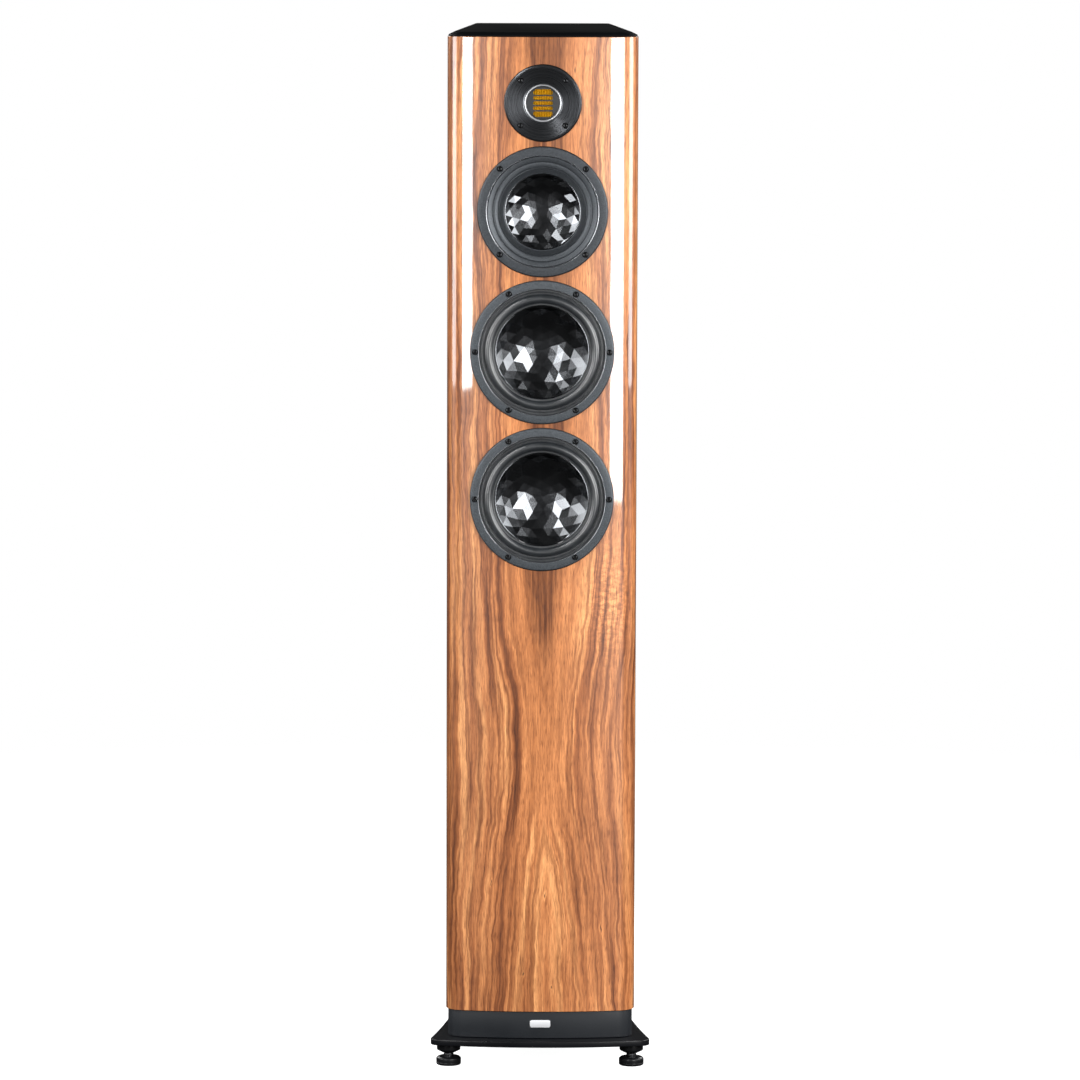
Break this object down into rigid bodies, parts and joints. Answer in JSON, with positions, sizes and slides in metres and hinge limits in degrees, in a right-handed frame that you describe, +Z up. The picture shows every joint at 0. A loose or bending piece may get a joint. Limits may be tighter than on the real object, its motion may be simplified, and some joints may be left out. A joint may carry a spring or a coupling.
{
  "type": "floorstanding speaker",
  "caption": "Slim floorstanding loudspeaker with a bowed glossy walnut cabinet, round drivers in a column, a dark plinth and a flared base plate on screw feet.",
  "frame": {"origin": "middle of the floor under the speaker", "axes": "+Z up, front and drivers face -Y, +X to the right seen from the front"},
  "size_m": [0.2548, 0.346, 1.203],
  "materials": {
    "walnut_veneer": "high gloss clear lacquer over upright walnut grain",
    "rear_black": "satin black lacquer on board",
    "inner_board": "raw fibreboard",
    "top_black": "satin black lacquer",
    "plinth_grey": "satin dark grey lacquer",
    "badge_metal": "brushed, plain",
    "base_black": "gloss black lacquer on steel",
    "foot_pad_black": "satin black",
    "foot_steel": "blackened steel thread",
    "foot_bush_black": "satin black",
    "midrange_flange": "fine turned, dark grey",
    "woofer_flange": "satin bead blasted, grey",
    "surround_rubber": "smooth matte rubber",
    "cone_metal": "faceted, dark grey anodised, glossy",
    "copper_winding": "enamelled copper wire",
    "spider_cloth": "resin treated woven cloth",
    "ferrite": "matte sintered ferrite",
    "motor_steel": "zinc plated steel",
    "tweeter_plate": "finely turned, dark grey",
    "trim_silver": "polished",
    "pole_black": "satin black",
    "foil_gold": "folded gold coloured film",
    "port_plastic": "fine texture",
    "terminal_plastic": "fine texture",
    "terminal_gold": "gold plated",
    "cap_black": "clear sleeve over black ring",
    "cap_red": "clear sleeve over red ring",
    "circuit_board": "solder mask",
    "capacitor_sleeve": "shrink sleeve"
  },
  "bodies": {
    "root": {"cabinet_shell": "walnut_veneer", "back_panel": "rear_black", "top_board": "inner_board", "bottom_board": "inner_board", "chamber_shelf": "inner_board", "window_brace": "inner_board", "top_plate": "top_black", "plinth": "plinth_grey", "badge": "badge_metal", "base_plate": "base_black", "foot_bush_fl": "foot_bush_black", "foot_bush_fr": "foot_bush_black", "foot_bush_rl": "foot_bush_black", "foot_bush_rr": "foot_bush_black", "midrange_basket": "midrange_flange", "midrange_surround": "surround_rubber", "midrange_spider": "spider_cloth", "midrange_magnet": "ferrite", "midrange_yoke": "motor_steel", "woofer_upper_basket": "woofer_flange", "woofer_upper_surround": "surround_rubber", "woofer_upper_spider": "spider_cloth", "woofer_upper_magnet": "ferrite", "woofer_upper_yoke": "motor_steel", "woofer_lower_basket": "woofer_flange", "woofer_lower_surround": "surround_rubber", "woofer_lower_spider": "spider_cloth", "woofer_lower_magnet": "ferrite", "woofer_lower_yoke": "motor_steel", "tweeter_faceplate": "tweeter_plate", "tweeter_trim_ring": "trim_silver", "tweeter_pole_plate": "pole_black", "tweeter_diaphragm": "foil_gold", "tweeter_motor": "motor_steel", "port_upper": "port_plastic", "port_lower": "port_plastic", "terminal_plate": "terminal_plastic", "terminal_post_black": "terminal_gold", "terminal_post_red": "terminal_gold", "crossover_board": "circuit_board", "crossover_coil": "copper_winding", "crossover_capacitor": "capacitor_sleeve"},
    "midrange_moving": {"midrange_cone": "cone_metal", "midrange_voice_coil": "copper_winding"},
    "woofer_upper_moving": {"woofer_upper_cone": "cone_metal", "woofer_upper_voice_coil": "copper_winding"},
    "woofer_lower_moving": {"woofer_lower_cone": "cone_metal", "woofer_lower_voice_coil": "copper_winding"},
    "foot_fl": {"foot_pad_fl": "foot_pad_black"},
    "foot_screw_fl": {"foot_stem_fl": "foot_steel"},
    "foot_fr": {"foot_pad_fr": "foot_pad_black"},
    "foot_screw_fr": {"foot_stem_fr": "foot_steel"},
    "foot_rl": {"foot_pad_rl": "foot_pad_black"},
    "foot_screw_rl": {"foot_stem_rl": "foot_steel"},
    "foot_rr": {"foot_pad_rr": "foot_pad_black"},
    "foot_screw_rr": {"foot_stem_rr": "foot_steel"},
    "terminal_black_clamp": {"terminal_washer_black": "terminal_gold"},
    "terminal_black_cap": {"terminal_cap_black": "cap_black"},
    "terminal_red_clamp": {"terminal_washer_red": "terminal_gold"},
    "terminal_red_cap": {"terminal_cap_red": "cap_red"}
  },
  "joints": [
    {"name": "midrange_stroke", "type": "slide", "parent": "root", "child": "midrange_moving", "axis": [0, -1, 0], "range_m": [-0.003, 0.003], "stiffness_N_per_m": 1500, "deforming": ["midrange_surround", "midrange_spider"]},
    {"name": "woofer_upper_stroke", "type": "slide", "parent": "root", "child": "woofer_upper_moving", "axis": [0, -1, 0], "range_m": [-0.005, 0.005], "stiffness_N_per_m": 1200, "deforming": ["woofer_upper_surround", "woofer_upper_spider"]},
    {"name": "woofer_lower_stroke", "type": "slide", "parent": "root", "child": "woofer_lower_moving", "axis": [0, -1, 0], "range_m": [-0.005, 0.005], "stiffness_N_per_m": 1200, "deforming": ["woofer_lower_surround", "woofer_lower_spider"]},
    {"name": "foot_fl_height", "type": "slide", "parent": "root", "child": "foot_fl", "axis": [0, 0, -1], "range_m": [0, 0.008]},
    {"name": "foot_fl_turn", "type": "hinge", "parent": "foot_fl", "child": "foot_screw_fl", "pos_m": [-0.1066, -0.14, 0.02], "axis": [0, 0, -1], "range_deg": [0, 2304]},
    {"name": "foot_fr_height", "type": "slide", "parent": "root", "child": "foot_fr", "axis": [0, 0, -1], "range_m": [0, 0.008]},
    {"name": "foot_fr_turn", "type": "hinge", "parent": "foot_fr", "child": "foot_screw_fr", "pos_m": [0.1066, -0.14, 0.02], "axis": [0, 0, -1], "range_deg": [0, 2304]},
    {"name": "foot_rl_height", "type": "slide", "parent": "root", "child": "foot_rl", "axis": [0, 0, -1], "range_m": [0, 0.008]},
    {"name": "foot_rl_turn", "type": "hinge", "parent": "foot_rl", "child": "foot_screw_rl", "pos_m": [-0.076, 0.15, 0.02], "axis": [0, 0, -1], "range_deg": [0, 2304]},
    {"name": "foot_rr_height", "type": "slide", "parent": "root", "child": "foot_rr", "axis": [0, 0, -1], "range_m": [0, 0.008]},
    {"name": "foot_rr_turn", "type": "hinge", "parent": "foot_rr", "child": "foot_screw_rr", "pos_m": [0.076, 0.15, 0.02], "axis": [0, 0, -1], "range_deg": [0, 2304]},
    {"name": "terminal_black_travel", "type": "slide", "parent": "root", "child": "terminal_black_clamp", "axis": [0, 1, 0], "range_m": [0, 0.005]},
    {"name": "terminal_black_turn", "type": "hinge", "parent": "terminal_black_clamp", "child": "terminal_black_cap", "pos_m": [-0.019, 0.14, 0.18], "axis": [0, 1, 0], "range_deg": [0, 1800]},
    {"name": "terminal_red_travel", "type": "slide", "parent": "root", "child": "terminal_red_clamp", "axis": [0, 1, 0], "range_m": [0, 0.005]},
    {"name": "terminal_red_turn", "type": "hinge", "parent": "terminal_red_clamp", "child": "terminal_red_cap", "pos_m": [0.019, 0.14, 0.18], "axis": [0, 1, 0], "range_deg": [0, 1800]}
  ],
  "couplings": [
    {"joint": "foot_fl_turn", "follows": "foot_fl_height", "rad_per_m": 5026.5},
    {"joint": "foot_fr_turn", "follows": "foot_fr_height", "rad_per_m": 5026.5},
    {"joint": "foot_rl_turn", "follows": "foot_rl_height", "rad_per_m": 5026.5},
    {"joint": "foot_rr_turn", "follows": "foot_rr_height", "rad_per_m": 5026.5},
    {"joint": "terminal_black_turn", "follows": "terminal_black_travel", "rad_per_m": 6283.2},
    {"joint": "terminal_red_turn", "follows": "terminal_red_travel", "rad_per_m": 6283.2}
  ]
}
